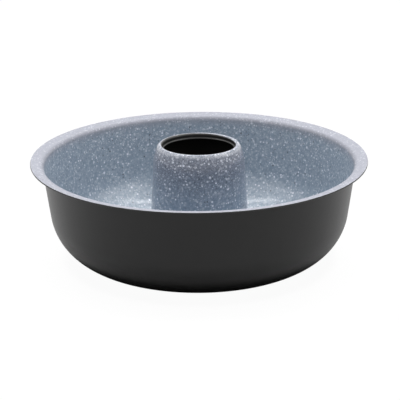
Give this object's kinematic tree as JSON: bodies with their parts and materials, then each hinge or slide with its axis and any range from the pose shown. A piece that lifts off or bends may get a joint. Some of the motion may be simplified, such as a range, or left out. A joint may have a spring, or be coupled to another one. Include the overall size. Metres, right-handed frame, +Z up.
{
  "type": "ring cake pan",
  "caption": "Round smooth-walled ring-cake pan with a flared rim and a tapered open centre tube; granite-effect coating inside, matt charcoal outside.",
  "frame": {"origin": "on the pan's axis, level with the flat underside that it stands on", "axes": "+Z up along the pan's axis; the pan is turned about it, so +X and +Y are alike, and -Y faces the picture's camera"},
  "size_m": [0.2598, 0.2598, 0.0907],
  "materials": {
    "charcoal_coating": "matt charcoal non-stick coating on steel sheet",
    "granite_coating": "satin blue-grey granite-effect non-stick coating with pale flecks on steel sheet"
  },
  "bodies": {
    "root": {"pan_body": "charcoal_coating", "centre_tube": "granite_coating"}
  },
  "joints": []
}
